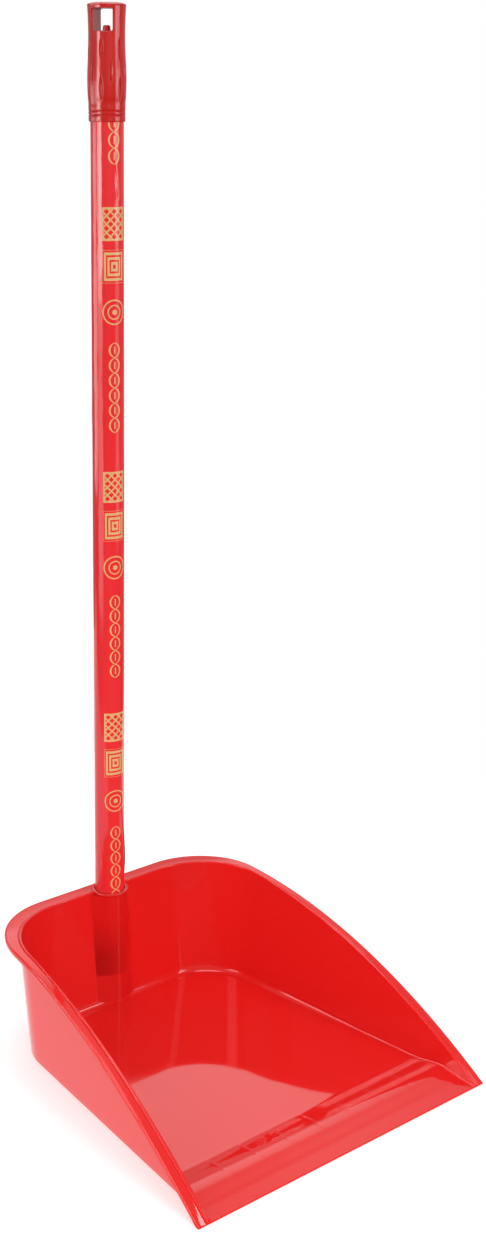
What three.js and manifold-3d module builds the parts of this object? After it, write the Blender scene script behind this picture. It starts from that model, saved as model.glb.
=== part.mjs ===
// Long-handled dustpan: a one-piece moulded pan, a steel tube handle in a printed film sleeve,
// and a moulded hanging cap. Millimetres, +Z up, the mouth faces -Y.
// Origin: on the floor, under the middle of the object's bounding box.
import * as THREE from 'three';
import * as BufferGeometryUtils from 'three/addons/utils/BufferGeometryUtils.js';
import Module from 'manifold-3d';

const wasm = await Module();
wasm.setup();

// ---------------------------------------------------------------- driving dimensions
const PAN_DEPTH = 258;            // front lip to the back wall, measured at the floor
const LIP_HALF = 125.5;           // half the pan's width at the lip
const REAR_HALF = 97;             // half its width at the back wall
const RIM_HEIGHT = 93;            // flat rear part of the rim
const RIM_FRONT = 1.6;            // height of the rim where it meets the lip
const SIDE_DRAFT = 0.0745;        // outward lean of the side walls, mm per mm of height
const REAR_DRAFT = 0.1125;        // outward lean of the back wall
const CORNER_LOW = 46;            // rear corner radius at the floor
const CORNER_RIM = 57.5;          // rear corner radius of the wall at the rim
const WALL = 2.2;                 // wall thickness
const FLOOR = 2.5;                // floor thickness
const FILLET = 5;                 // inside radius between floor and walls
const FOOT_RADIUS = 4;            // outside radius between floor and walls

const FLANGE_FRONT = 7.2;         // width of the rim flange at the lip
const FLANGE_SIDE = 5.9;          // width of the flange along the sides, near the back
const FLANGE_REAR = 11.4;         // width of the flange along the back wall
const FLANGE_CORNER = 57.6;       // corner radius of its outer edge
const FLANGE_THICK = 2.2;
const FLANGE_DROP = 4;            // depth of its turned-down outer edge
const BEAD_WIDTH = 2.6;           // raised bead round the inside of the flange
const BEAD_RISE = 0.9;

const LIP_THICK = 1.2;            // front edge of the ramp
const CREST_Z = 5.4;              // top of the low crest behind the lip
const CREST_Y = 29;
const CREST_END = 54;             // where the crest has run out into the floor
const RAMP_SKIN = 2;              // plastic left over the hollow under the crest
const HOLLOW_LOW = 0.3;           // lowest the hollow's roof comes before it stops
const RIB_THICK = 1.4;
const RIB_COUNT = 7;              // ribs that run from the lip to the floor, under the crest
const RIB_PITCH = 28;

const AXIS_Y = 265.3;             // handle axis, from the lip
const SOCKET_SKIN = [             // outside radius of the socket column at heights above the ground
  [15.2, 0], [14.3, 20], [13.7, 48], [13.3, 91.4],
];
const MOUTH_R = 14.2;
const WEB_HALF = 17.4;            // half the width of the web that ties the column to the back wall
const SOCKET_TOP = 94;
const SOCKET_WALL_R = 11.35;      // bore for the sleeved tube
const STOP_R = 9.8;               // narrower bore below, whose shoulder stops the tube
const STOP_Z = 25.7;              // height of that shoulder
const FIT_GAP = 0.3;

const TUBE_R = 11;
const TUBE_WALL = 0.4;
const TUBE_BOTTOM = STOP_Z + FIT_GAP;
const TUBE_TOP = 688;
const FILM_R = 11.2;
const FILM_GAP = 0.04;
const FILM_BOTTOM = TUBE_BOTTOM + 0.5;
const FILM_TOP = TUBE_TOP - 2;

const CAP_BOTTOM = 653;
const CAP_TOP = 727.4;
const CAP_EDGE = 1.8;             // height of its domed crown
const CAP_CROWN = [[10.9, 0.7], [8, 0.2], [0, 0]];   // its radius at depths below the cap's top
const CAP_SOCKET_R = 11.35;
const CAP_SKIN = [                // outside radius at heights above its lower rim
  [12.25, 0], [12.35, 9], [12.6, 16], [12.93, 25], [12.85, 32],
  [12.45, 40], [12.15, 50], [12.15, 58], [12.4, 66], [12.8, CAP_TOP - CAP_EDGE - CAP_BOTTOM],
];
const DIMPLE_COLUMNS = 12;
const DIMPLE_PAIR = [21.4, 45.5]; // heights of the hollows in every other column
const DIMPLE_SINGLE = [31.2];
const DIMPLE_HALF = new THREE.Vector3(1.1, 1.7, 6.5); // half depth, half width, half length
const SLOT_WIDTH = 13.7;
const SLOT_BOTTOM = 709.6;
const SLOT_TOP = 723.5;
const SLOT_YAW = THREE.MathUtils.degToRad(35.6);   // the slot's run, from +X towards +Y
const NUB_HEIGHT = 3.6;
const NUB_LOW = 5.2;              // width of the nub at its foot
const NUB_HIGH = 4.1;

const ROUND = 40;                 // facets round the handle, cap and socket
const REACH = 400;                // longer than anything it cuts
const OVERRUN = 10;               // how far a cutter starts outside what it cuts
const SLIVER = 0.01;              // least height kept in a side-view outline
const WELD = 1e-4;                // vertices nearer than this are one
const FILLET_STEPS = 4;           // facets across a fillet
const FRONT_SHIFT = -(PAN_DEPTH + REAR_DRAFT * RIM_HEIGHT + FLANGE_REAR) / 2;

// ---------------------------------------------------------------- solids and booleans
function toManifold(geometry) {
  const bare = geometry.clone();
  bare.deleteAttribute('normal');
  if (bare.attributes.uv) bare.deleteAttribute('uv');
  const merged = BufferGeometryUtils.mergeVertices(bare, WELD);
  const vertProperties = new Float32Array(merged.attributes.position.array);
  const triVerts = new Uint32Array(merged.index.array);
  return new wasm.Manifold(new wasm.Mesh({ numProp: 3, vertProperties, triVerts }));
}

function toGeometry(solid) {
  const mesh = solid.getMesh();
  const geometry = new THREE.BufferGeometry();
  geometry.setAttribute('position', new THREE.BufferAttribute(new Float32Array(mesh.vertProperties), 3));
  geometry.setIndex(new THREE.BufferAttribute(new Uint32Array(mesh.triVerts), 1));
  geometry.computeVertexNormals();
  return geometry;
}

// A closed solid through rings of points at rising heights, all rings with equal point counts.
function loft(levels) {
  const count = levels[0].points.length;
  const vertices = [];
  for (const level of levels) {
    for (const point of level.points) vertices.push(point.x, point.y, level.z);
  }
  const faces = [];
  for (let k = 0; k + 1 < levels.length; k += 1) {
    for (let i = 0; i < count; i += 1) {
      const a = k * count + i;
      const b = k * count + (i + 1) % count;
      faces.push(a, b, b + count, a, b + count, a + count);
    }
  }
  const capFaces = THREE.ShapeUtils.triangulateShape(levels[0].points, []);
  const top = (levels.length - 1) * count;
  for (const [a, b, c] of capFaces) {
    faces.push(a, c, b);
    faces.push(top + a, top + b, top + c);
  }
  const geometry = new THREE.BufferGeometry();
  geometry.setAttribute('position', new THREE.Float32BufferAttribute(vertices, 3));
  geometry.setIndex(faces);
  return toManifold(geometry);
}

// A side-view outline (y, z) carried across the whole width, or between two x values.
function acrossWidth(outline, from = -REACH / 2, to = REACH / 2) {
  const shape = new THREE.Shape(outline.map(([y, z]) => new THREE.Vector2(y, z)));
  const geometry = new THREE.ExtrudeGeometry(shape, { depth: to - from, bevelEnabled: false });
  const turn = new THREE.Matrix4().makeBasis(
    new THREE.Vector3(0, 1, 0),
    new THREE.Vector3(0, 0, 1),
    new THREE.Vector3(1, 0, 0),
  );
  geometry.applyMatrix4(turn);
  geometry.translate(from, 0, 0);
  return toManifold(geometry);
}

function cylinder(radius, bottom, top) {
  const geometry = new THREE.CylinderGeometry(radius, radius, top - bottom, ROUND);
  geometry.rotateX(Math.PI / 2);
  geometry.translate(0, AXIS_Y, (top + bottom) / 2);
  return toManifold(geometry);
}

// A body of revolution about the handle axis, from (radius, height) pairs.
function turned(profile) {
  const geometry = new THREE.LatheGeometry(profile.map(([r, z]) => new THREE.Vector2(r, z)), ROUND);
  geometry.rotateX(Math.PI / 2);
  geometry.translate(0, AXIS_Y, 0);
  return geometry;
}

// ---------------------------------------------------------------- the pan's plan and rim
function rimHeight(y) {
  const left = 1 - THREE.MathUtils.clamp(y / PAN_DEPTH, 0, 1);
  return RIM_FRONT + (RIM_HEIGHT - RIM_FRONT) * (1 - left * left);
}

function halfWidth(y) {
  return THREE.MathUtils.lerp(LIP_HALF, REAR_HALF, y / PAN_DEPTH);
}

// The open-fronted plan: straight or gently curved sides, round rear corners, straight back.
function plan(halfAt, rearY, radius, frontY) {
  const step = 1;
  const nearRear = rearY - radius;
  const slope = (halfAt(nearRear) - halfAt(nearRear - step)) / step;
  const length = Math.hypot(1, slope);
  const tangentY = rearY - radius - radius * slope / length;
  const centreX = halfAt(tangentY) - radius / length;
  const right = [];
  const sideSteps = 16;
  for (let i = 0; i < sideSteps; i += 1) {
    const y = THREE.MathUtils.lerp(frontY, tangentY, i / sideSteps);
    right.push(new THREE.Vector2(halfAt(y), y));
  }
  const start = Math.atan2(-slope, 1);
  const arcSteps = 12;
  for (let i = 0; i <= arcSteps; i += 1) {
    const angle = THREE.MathUtils.lerp(start, Math.PI / 2, i / arcSteps);
    const centre = new THREE.Vector2(centreX, rearY - radius);
    right.push(new THREE.Vector2(radius, 0).rotateAround(new THREE.Vector2(), angle).add(centre));
  }
  const left = right.map((p) => new THREE.Vector2(-p.x, p.y)).reverse();
  return [...right, ...left];
}

// Wall outline at height z, moved inward by inset.
function wallPlan(z, inset, frontY) {
  const half = (y) => halfWidth(y) + SIDE_DRAFT * z - inset;
  const radius = THREE.MathUtils.lerp(CORNER_LOW, CORNER_RIM, z / RIM_HEIGHT) - inset;
  return plan(half, PAN_DEPTH + REAR_DRAFT * z - inset, radius, frontY);
}

// Outer edge of the flange in plan, moved inward by inset.
function flangePlan(inset, frontY) {
  const half = (y) => {
    const along = THREE.MathUtils.clamp(y / PAN_DEPTH, 0, 1);
    const width = THREE.MathUtils.lerp(FLANGE_FRONT, FLANGE_SIDE, along);
    return halfWidth(y) + SIDE_DRAFT * rimHeight(y) + width - inset;
  };
  const rear = PAN_DEPTH + REAR_DRAFT * RIM_HEIGHT + FLANGE_REAR - inset;
  return plan(half, rear, FLANGE_CORNER - inset, frontY);
}

// Inner face of the wall along the rim, moved outward by outset.
function rimInnerPlan(outset, frontY) {
  const half = (y) => halfWidth(y) + SIDE_DRAFT * rimHeight(y) + outset;
  return plan(half, PAN_DEPTH + REAR_DRAFT * RIM_HEIGHT + outset, CORNER_RIM + outset, frontY);
}

function upright(points, bottom, top) {
  return loft([{ z: bottom, points }, { z: top, points }]);
}

// Side-view outline below the rim line, lowered by drop, down to bottom.
function belowRim(drop, bottom) {
  const outline = [];
  const steps = 28;
  for (let i = 0; i <= steps; i += 1) {
    const y = PAN_DEPTH * i / steps;
    outline.push([y, Math.max(rimHeight(y) - drop, bottom + SLIVER)]);
  }
  outline.push([REACH, RIM_HEIGHT - drop]);
  outline.push([REACH, bottom]);
  outline.push([0, bottom]);
  return outline;
}

// ---------------------------------------------------------------- the pan
function wallShell() {
  const outerLevels = [];
  for (let k = 0; k < FILLET_STEPS; k += 1) {
    const angle = (k / FILLET_STEPS) * Math.PI / 2;
    const inset = FOOT_RADIUS * (1 - Math.sin(angle));
    outerLevels.push({ z: FOOT_RADIUS * (1 - Math.cos(angle)), points: wallPlan(0, inset, 0) });
  }
  outerLevels.push({ z: FOOT_RADIUS, points: wallPlan(FOOT_RADIUS, 0, 0) });
  outerLevels.push({ z: RIM_HEIGHT + OVERRUN, points: wallPlan(RIM_HEIGHT + OVERRUN, 0, 0) });

  const innerLevels = [];
  for (let k = 0; k < FILLET_STEPS; k += 1) {
    const angle = (k / FILLET_STEPS) * Math.PI / 2;
    const z = FLOOR + FILLET * (1 - Math.cos(angle));
    innerLevels.push({ z, points: wallPlan(z, WALL + FILLET * (1 - Math.sin(angle)), -OVERRUN) });
  }
  const filletTop = FLOOR + FILLET;
  innerLevels.push({ z: filletTop, points: wallPlan(filletTop, WALL, -OVERRUN) });
  innerLevels.push({ z: RIM_HEIGHT + 2 * OVERRUN, points: wallPlan(RIM_HEIGHT + 2 * OVERRUN, WALL, -OVERRUN) });

  const outer = loft(outerLevels).intersect(acrossWidth(belowRim(0, -1)));
  return outer.subtract(loft(innerLevels));
}

function flange() {
  const inside = upright(rimInnerPlan(-WALL, -OVERRUN), -OVERRUN, REACH);
  const plate = upright(flangePlan(0, 0), 0, REACH)
    .subtract(inside)
    .intersect(acrossWidth(belowRim(0, -1)).subtract(acrossWidth(belowRim(FLANGE_THICK, -2))));
  const edge = upright(flangePlan(0, 0), 0, REACH)
    .subtract(upright(flangePlan(FLANGE_THICK, -OVERRUN), -OVERRUN, REACH))
    .intersect(acrossWidth(belowRim(0, -1)).subtract(acrossWidth(belowRim(FLANGE_DROP, -2))));
  const bead = upright(rimInnerPlan(BEAD_WIDTH - WALL, 0), 0, REACH)
    .subtract(inside)
    .intersect(acrossWidth(belowRim(-BEAD_RISE, -1)).subtract(acrossWidth(belowRim(FLANGE_THICK, -2))));
  return plate.add(edge).add(bead);
}

// Top of the ramp in side view: a rounded rise from the lip, a crest, and a run-out to the floor.
function rampTop(y) {
  if (y <= CREST_Y) {
    const left = 1 - y / CREST_Y;
    return CREST_Z - (CREST_Z - LIP_THICK) * left * left;
  }
  const run = THREE.MathUtils.clamp((y - CREST_Y) / (CREST_END - CREST_Y), 0, 1);
  return FLOOR + (CREST_Z - FLOOR) * (1 + Math.cos(Math.PI * run)) / 2;
}

function ramp() {
  const steps = 22;
  const top = [];
  const underside = [];
  for (let i = 0; i <= steps; i += 1) {
    const y = CREST_END * i / steps;
    top.push([y, rampTop(y)]);
    const z = rampTop(y) - RAMP_SKIN;
    if (z > HOLLOW_LOW) underside.push([y, z]);
  }
  const inside = upright(wallPlan(0, WALL / 2, 0), -OVERRUN, REACH);
  const body = acrossWidth([[0, 0], [CREST_END, 0], ...top.reverse()]).intersect(inside);
  const first = underside[0][0];
  const last = underside[underside.length - 1][0];
  const hollow = [[first, -1], [last, -1], ...underside.reverse()];
  const hollowLimit = LIP_HALF - 2 * WALL - FILLET;
  const cuts = [];
  let from = -hollowLimit;
  for (let i = 0; i < RIB_COUNT; i += 1) {
    const rib = (i - (RIB_COUNT - 1) / 2) * RIB_PITCH;
    cuts.push(acrossWidth(hollow, from, rib - RIB_THICK / 2));
    from = rib + RIB_THICK / 2;
  }
  cuts.push(acrossWidth(hollow, from, hollowLimit));
  return { body, cuts };
}

// Faired web from the column to the inside of the back wall.
function web() {
  const level = ([radius, height]) => {
    const z = Math.max(height, FLOOR / 2);
    const face = PAN_DEPTH + REAR_DRAFT * z - WALL - AXIS_Y;
    const behind = face + WALL / 2;
    const turn = Math.atan2(face, WEB_HALF) - Math.acos(radius / Math.hypot(WEB_HALF, face));
    const touchX = radius * Math.cos(turn);
    const touchY = radius * Math.sin(turn);
    const right = [[touchX, touchY], [WEB_HALF, face], [WEB_HALF, behind]];
    const left = right.map(([x, y]) => [-x, y]).reverse();
    const points = [...right, ...left].map(([x, y]) => new THREE.Vector2(x, AXIS_Y + y));
    return { z, points };
  };
  return loft(SOCKET_SKIN.map(level));
}

function socket() {
  const [neckR, neckZ] = SOCKET_SKIN[SOCKET_SKIN.length - 1];
  const ring = [[MOUTH_R, neckZ + MOUTH_R - neckR], [MOUTH_R, SOCKET_TOP], [0, SOCKET_TOP]];
  const column = toManifold(turned([[0, 0], ...SOCKET_SKIN, ...ring]))
    .intersect(upright(flangePlan(0, 0), -1, REACH))
    .add(web());
  const bore = cylinder(SOCKET_WALL_R, STOP_Z, SOCKET_TOP + OVERRUN);
  const stopBore = cylinder(STOP_R, FLOOR, STOP_Z + OVERRUN);
  return { column, bore, stopBore };
}

function pan() {
  const { body, cuts } = ramp();
  const { column, bore, stopBore } = socket();
  let solid = wallShell().add(flange()).add(body).add(column);
  for (const cut of cuts) solid = solid.subtract(cut);
  solid = solid.subtract(bore).subtract(stopBore);
  return toGeometry(solid);
}

// ---------------------------------------------------------------- the handle
function sleeve(innerR, outerR, bottom, top) {
  return turned([[innerR, bottom], [outerR, bottom], [outerR, top], [innerR, top], [innerR, bottom]]);
}

function capProfile() {
  const points = CAP_SKIN.map(([r, rise]) => new THREE.Vector2(r, CAP_BOTTOM + rise));
  const skin = new THREE.SplineCurve(points).getPoints(18).map((p) => [p.x, p.y]);
  const crown = CAP_CROWN.map(([r, drop]) => [r, CAP_TOP - drop]);
  return [[0, CAP_BOTTOM], ...skin, ...crown];
}

// Finger dimples: columns of long shallow hollows, alternately two and one to a column.
function dimples() {
  const skinR = CAP_SKIN[3][0];
  const cuts = [];
  for (let k = 0; k < DIMPLE_COLUMNS; k += 1) {
    const rises = k % 2 === 0 ? DIMPLE_PAIR : DIMPLE_SINGLE;
    const angle = SLOT_YAW + Math.PI + k * 2 * Math.PI / DIMPLE_COLUMNS;
    for (const rise of rises) {
      const geometry = new THREE.SphereGeometry(1, 8, 6);
      geometry.scale(DIMPLE_HALF.x, DIMPLE_HALF.y, DIMPLE_HALF.z);
      geometry.translate(skinR, 0, CAP_BOTTOM + rise);
      geometry.rotateZ(angle);
      geometry.translate(0, AXIS_Y, 0);
      cuts.push(toManifold(geometry));
    }
  }
  return cuts;
}

function slotBox(length, width, bottom, top) {
  const geometry = new THREE.BoxGeometry(length, width, top - bottom);
  geometry.rotateZ(SLOT_YAW);
  geometry.translate(0, AXIS_Y, (top + bottom) / 2);
  return toManifold(geometry);
}

function nub() {
  const foot = SLOT_BOTTOM - 1;
  const head = SLOT_BOTTOM + NUB_HEIGHT;
  const level = (z, width) => {
    const h = width / 2;
    const corners = [[-h, -h], [h, -h], [h, h], [-h, h]];
    const origin = new THREE.Vector2(0, 0);
    const move = new THREE.Vector2(0, AXIS_Y);
    const turn = ([x, y]) => new THREE.Vector2(x, y).rotateAround(origin, SLOT_YAW).add(move);
    const points = corners.map(turn);
    return { z, points };
  };
  return loft([level(foot, NUB_LOW), level(head, NUB_HIGH)]);
}

function hangingCap() {
  let solid = toManifold(turned(capProfile()));
  solid = solid.subtract(cylinder(CAP_SOCKET_R, CAP_BOTTOM - OVERRUN, TUBE_TOP + FIT_GAP));
  for (const cut of dimples()) solid = solid.subtract(cut);
  solid = solid.subtract(slotBox(4 * FILM_R, SLOT_WIDTH, SLOT_BOTTOM, SLOT_TOP)).add(nub());
  return toGeometry(solid);
}

// ---------------------------------------------------------------- assembly
function material(color, roughness, metalness) {
  return new THREE.MeshStandardMaterial({ color, roughness, metalness });
}

const object = new THREE.Group();
object.position.y = FRONT_SHIFT;

function addPart(name, geometry, look) {
  const mesh = new THREE.Mesh(geometry, look);
  mesh.name = name;
  object.add(mesh);
}

addPart('pan', pan(), material(0xdf1f1c, 0.22, 0));
const tube = sleeve(TUBE_R - TUBE_WALL, TUBE_R, TUBE_BOTTOM, TUBE_TOP);
const film = sleeve(TUBE_R + FILM_GAP, FILM_R, FILM_BOTTOM, FILM_TOP);
addPart('handle_tube', tube, material(0xb9bcc0, 0.35, 1));
addPart('handle_film', film, material(0xcf2228, 0.28, 0));
addPart('hanging_cap', hangingCap(), material(0xc92420, 0.3, 0));

export default object;
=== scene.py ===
import math

import bmesh
import bpy
from mathutils import Matrix, Vector, noise


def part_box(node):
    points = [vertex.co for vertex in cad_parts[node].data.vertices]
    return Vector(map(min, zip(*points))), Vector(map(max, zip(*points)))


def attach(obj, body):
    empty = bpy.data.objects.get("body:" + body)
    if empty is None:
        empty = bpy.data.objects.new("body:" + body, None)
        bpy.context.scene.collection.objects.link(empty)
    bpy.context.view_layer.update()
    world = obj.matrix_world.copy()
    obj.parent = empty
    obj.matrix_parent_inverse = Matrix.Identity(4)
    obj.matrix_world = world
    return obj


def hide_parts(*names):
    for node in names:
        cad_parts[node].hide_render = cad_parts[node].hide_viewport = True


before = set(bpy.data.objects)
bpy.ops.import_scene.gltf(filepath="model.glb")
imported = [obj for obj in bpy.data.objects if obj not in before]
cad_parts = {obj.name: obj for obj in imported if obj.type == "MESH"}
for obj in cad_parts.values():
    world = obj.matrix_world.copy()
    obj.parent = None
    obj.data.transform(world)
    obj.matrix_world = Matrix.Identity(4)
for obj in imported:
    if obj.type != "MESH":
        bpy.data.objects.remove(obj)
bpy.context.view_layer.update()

# Looks of the long-handled dustpan. Shapes are worked out in millimetres with the lip at y = 0,
# and placed in the frame in metres.
MM = 0.001
PAN_LOW, PAN_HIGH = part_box("pan")
CAP_LOW, CAP_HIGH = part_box("hanging_cap")
TUBE_LOW, TUBE_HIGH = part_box("handle_tube")
FILM_LOW, FILM_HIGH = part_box("handle_film")
LIP_Y = PAN_LOW.y
AXIS_Y = (CAP_LOW.y + CAP_HIGH.y) / 2

# ---------------------------------------------------------------- pan dimensions, in millimetres
PAN_DEPTH = 258         # lip to back wall at the floor
LIP_HALF = 125.5        # half the width at the lip
REAR_HALF = 97          # half the width at the back wall
RIM_HEIGHT = 93         # the rim's flat rear part
RIM_FRONT = 1.6         # rim height at the lip
SIDE_DRAFT = 0.0745     # outward lean of the sides, per mm of height
REAR_DRAFT = 0.1125     # outward lean of the back wall
CORNER_LOW = 46         # rear corner radius at the floor
CORNER_RIM = 57.5       # rear corner radius at the rim
WALL = 2.2
FLOOR = 2.5
FILLET = 5              # inside fillet at the back
FILLET_FRONT = 1.5      # inside fillet at the front
FOOT_RADIUS = 4         # outside radius under the walls
FLANGE_FRONT = 7.2      # flange width at the lip
FLANGE_SIDE = 5.9       # flange width at the sides, near the back
FLANGE_REAR = 11.4      # flange width at the back
FLANGE_CORNER = 57.6    # corner radius of its outer edge
FLANGE_THICK = 2.2
FLANGE_DROP = 4         # depth of its turned-down edge
BEAD_WIDTH = 2.6
BEAD_RISE = 0.9
LIP_THICK = 1.2
CREST_Z = 5.4           # top of the crest behind the lip
CREST_Y = 29
CREST_END = 54          # where the crest has run out
RAMP_SKIN = 2           # plastic over the hollow under the crest
RIB_THICK = 1.4
RIB_PITCH = 28
RIBS = [RIB_PITCH * k for k in range(-3, 4)]
POCKET_HALF = 114       # half the width of that hollow
# Relative steepness of the ramp at distances behind the lip.
RAMP_SLOPES = [(0, 1.0), (10, 1.0), (13, 1.6), (15.5, 1.25), (20.5, 1.3), (23, 1.6), (25.5, 0.75), (29, 0)]
SINK_DEPTH = 0.06       # shallow line over each rib
SINK_WIDTH = 1.2
# (height, radius) of the socket column, and (height, half width) of its foot on the back wall.
SOCKET_SKIN = [(0, 15.2), (20, 14.3), (48, 13.7), (91.4, 13.3)]
WEB_HALF = [(0, 18.2), (91.4, 16.7)]
WEB_FILLET = 1.3
MOUTH_R = 14.2
SOCKET_TOP = (PAN_HIGH.z - PAN_LOW.z) / MM
BORE_R = 11.35
STOP_R = 9.8            # narrower bore that stops the tube's foot
STOP_Z = 25.7           # height of its shoulder
AXIS_LOCAL = (AXIS_Y - LIP_Y) / MM
RIM_REAR = (PAN_HIGH.y - PAN_LOW.y) / MM

# Rows of the plan curve: 1 mm apart at the front, wider to the corner, then round it.
FINE_ROWS = 56
SIDE_ROWS = 92
ARC_ROWS = 24
TURNED_STEPS = 96       # facets round a turned shape


def curve_through(points, t):
    """Smooth curve's value at t, through (t, value) pairs in rising order."""
    t = clamp(t, points[0][0], points[-1][0])
    last = len(points) - 1

    def slope(k):
        a = points[max(k - 1, 0)]
        b = points[min(k + 1, last)]
        return (b[1] - a[1]) / (b[0] - a[0])

    k = 0
    while k < last - 1 and t > points[k + 1][0]:
        k += 1
    (t0, v0), (t1, v1) = points[k], points[k + 1]
    span = t1 - t0
    u = (t - t0) / span
    rise = u * u * (3 - 2 * u)
    return (lerp(v0, v1, rise) + span * slope(k) * u * (1 - u) ** 2
            - span * slope(k + 1) * u * u * (1 - u))


def bump(t, middle, width):
    return math.exp(-((t - middle) / width) ** 2)


def place(x, y, z):
    """A point given in millimetres, with y from the lip, as a point of the frame."""
    return Vector((x * MM, LIP_Y + y * MM, z * MM))


def lerp(a, b, t):
    return a + (b - a) * t


def clamp(t, low=0.0, high=1.0):
    return max(low, min(high, t))


def smooth(t):
    t = clamp(t)
    return t * t * (3 - 2 * t)


# ---------------------------------------------------------------- pan surfaces
def climb(y):
    """Area under RAMP_SLOPES from the lip to y."""
    total = 0.0
    for (y0, s0), (y1, s1) in zip(RAMP_SLOPES, RAMP_SLOPES[1:]):
        reach = clamp((y - y0) / (y1 - y0))
        total += (y1 - y0) * reach * (s0 + (s1 - s0) * reach / 2)
    return total


def rim_height(y):
    left = 1 - clamp(y / PAN_DEPTH)
    return RIM_FRONT + (RIM_HEIGHT - RIM_FRONT) * (1 - left * left)


def half_width(y):
    return lerp(LIP_HALF, REAR_HALF, y / PAN_DEPTH)


def ramp_top(y):
    """Floor height behind the lip: a rise in faint steps to the crest, then a run-out to the flat floor."""
    if y <= CREST_Y:
        return LIP_THICK + (CREST_Z - LIP_THICK) * climb(y) / climb(CREST_Y)
    run = clamp((y - CREST_Y) / (CREST_END - CREST_Y))
    return FLOOR + (CREST_Z - FLOOR) * (1 + math.cos(math.pi * run)) / 2


def floor_top(x, y):
    """Floor height with the shallow sinks that cooling leaves over the ribs."""
    reach = smooth((y - 15) / 12) * smooth((CREST_END - y) / 8)
    sink = sum(bump(x, rib, SINK_WIDTH) for rib in RIBS)
    return ramp_top(y) - SINK_DEPTH * reach * sink


def station(row, half_at, rear, radius):
    """Point of a right-hand plan curve at a row: side rows first, then the rear corner's arc."""
    near = rear - radius
    slope = half_at(near) - half_at(near - 1)
    length = math.hypot(1, slope)
    tangent_y = rear - radius - radius * slope / length
    if row < SIDE_ROWS:
        share = (row - FINE_ROWS) / (SIDE_ROWS - FINE_ROWS)
        y = row if row <= FINE_ROWS else lerp(FINE_ROWS, tangent_y, share)
        return half_at(y), y
    start = math.atan2(-slope, 1)
    angle = lerp(start, math.pi / 2, (row - SIDE_ROWS) / ARC_ROWS)
    centre_x = half_at(tangent_y) - radius / length
    return centre_x + radius * math.cos(angle), rear - radius + radius * math.sin(angle)


def wall_point(row, z, inset):
    radius = lerp(CORNER_LOW, CORNER_RIM, z / RIM_HEIGHT) - inset
    return station(row, lambda y: half_width(y) + SIDE_DRAFT * z - inset,
                   PAN_DEPTH + REAR_DRAFT * z - inset, radius)


def rim_point(row):
    """Inner face of the wall at rim height, and that height."""
    y = wall_point(row, RIM_HEIGHT, WALL)[1]
    for _ in range(3):
        z = rim_height(y)
        x, y = wall_point(row, z, WALL)
    return x, y, rim_height(y)


def flange_point(row):
    """Outermost edge of the flange in plan."""
    def half_at(y):
        width = lerp(FLANGE_FRONT, FLANGE_SIDE, clamp(y / PAN_DEPTH))
        return half_width(y) + SIDE_DRAFT * rim_height(y) + width
    rear = PAN_DEPTH + REAR_DRAFT * RIM_HEIGHT + FLANGE_REAR
    return station(row, half_at, rear, FLANGE_CORNER)


def wall_profile(row):
    """Points (x, y, z) from the floor's edge, up the inside, over the rim and down to the foot."""
    rim_x, rim_y, top = rim_point(row)
    out_x, out_y = flange_point(row)
    floor_y = wall_point(row, FLOOR, WALL + FILLET)[1]
    floor_z = ramp_top(floor_y)
    room = max(top + BEAD_RISE - floor_z, 0.2)
    fillet = min(lerp(FILLET_FRONT, FILLET, smooth((floor_y - 90) / 120)), 0.8 * room)
    points = []

    def on_wall(z, inset):
        x, y = wall_point(row, z, inset)
        points.append((x, y, z))

    fillet_steps = 7
    for k in range(fillet_steps + 1):
        angle = math.pi / 2 * k / fillet_steps
        on_wall(floor_z + fillet * (1 - math.cos(angle)), WALL + fillet * (1 - math.sin(angle)))
    wall_low = floor_z + fillet
    wall_high = max(top - 0.4, wall_low + 0.05)
    wall_steps = 10
    for k in range(1, wall_steps + 1):
        on_wall(lerp(wall_low, wall_high, k / wall_steps), WALL)

    width = math.hypot(out_x - rim_x, out_y - rim_y)
    start = Vector((rim_x, rim_y, 0))
    outward = (Vector((out_x, out_y, 0)) - start) / width

    def on_flange(out, rise):
        p = start + outward * out
        points.append((p.x, p.y, max(rim_height(p.y) + rise, 0.0)))

    bead_steps = 10
    for k in range(bead_steps + 1):
        angle = math.pi * (1 - k / bead_steps)
        rise = -0.3 + (BEAD_RISE + 0.3) * math.sin(angle) ** 0.8
        on_flange(BEAD_WIDTH / 2 * (1 + math.cos(angle)) + 0.02, rise)
    on_flange(BEAD_WIDTH + 0.35, -0.28)
    on_flange(BEAD_WIDTH + 0.8, -0.05)
    edge_r = 1.9
    flat_from = BEAD_WIDTH + 1.3
    flat_to = width - edge_r
    for k in range(4):
        on_flange(lerp(flat_from, flat_to, k / 3), 0)
    edge_steps = 6
    for k in range(1, edge_steps + 1):
        angle = math.pi / 2 * k / edge_steps
        on_flange(width - edge_r + edge_r * math.sin(angle), -edge_r * (1 - math.cos(angle)))
    on_flange(width, -FLANGE_DROP + 0.4)
    on_flange(width - 0.25, -FLANGE_DROP)
    on_flange(width - 1.3, -FLANGE_DROP)
    on_flange(width - 1.6, -FLANGE_DROP + 0.4)
    on_flange(width - 1.9, -FLANGE_THICK - 0.4)
    on_flange(width - 2.6, -FLANGE_THICK)
    under_z = max(top - FLANGE_THICK, 0.0)
    foot = min(FOOT_RADIUS, max(under_z * 0.8, 0.02))
    outer_top = max(under_z - 0.4, foot)
    on_flange(WALL + 0.8, -FLANGE_THICK)
    for k in range(wall_steps + 1):
        on_wall(lerp(outer_top, foot, k / wall_steps), 0)
    foot_steps = 5
    for k in range(1, foot_steps + 1):
        angle = math.pi / 2 * k / foot_steps
        on_wall(foot * (1 - math.sin(angle)), foot * (1 - math.cos(angle)))
    on_wall(0, WALL + FILLET)
    return points


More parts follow.
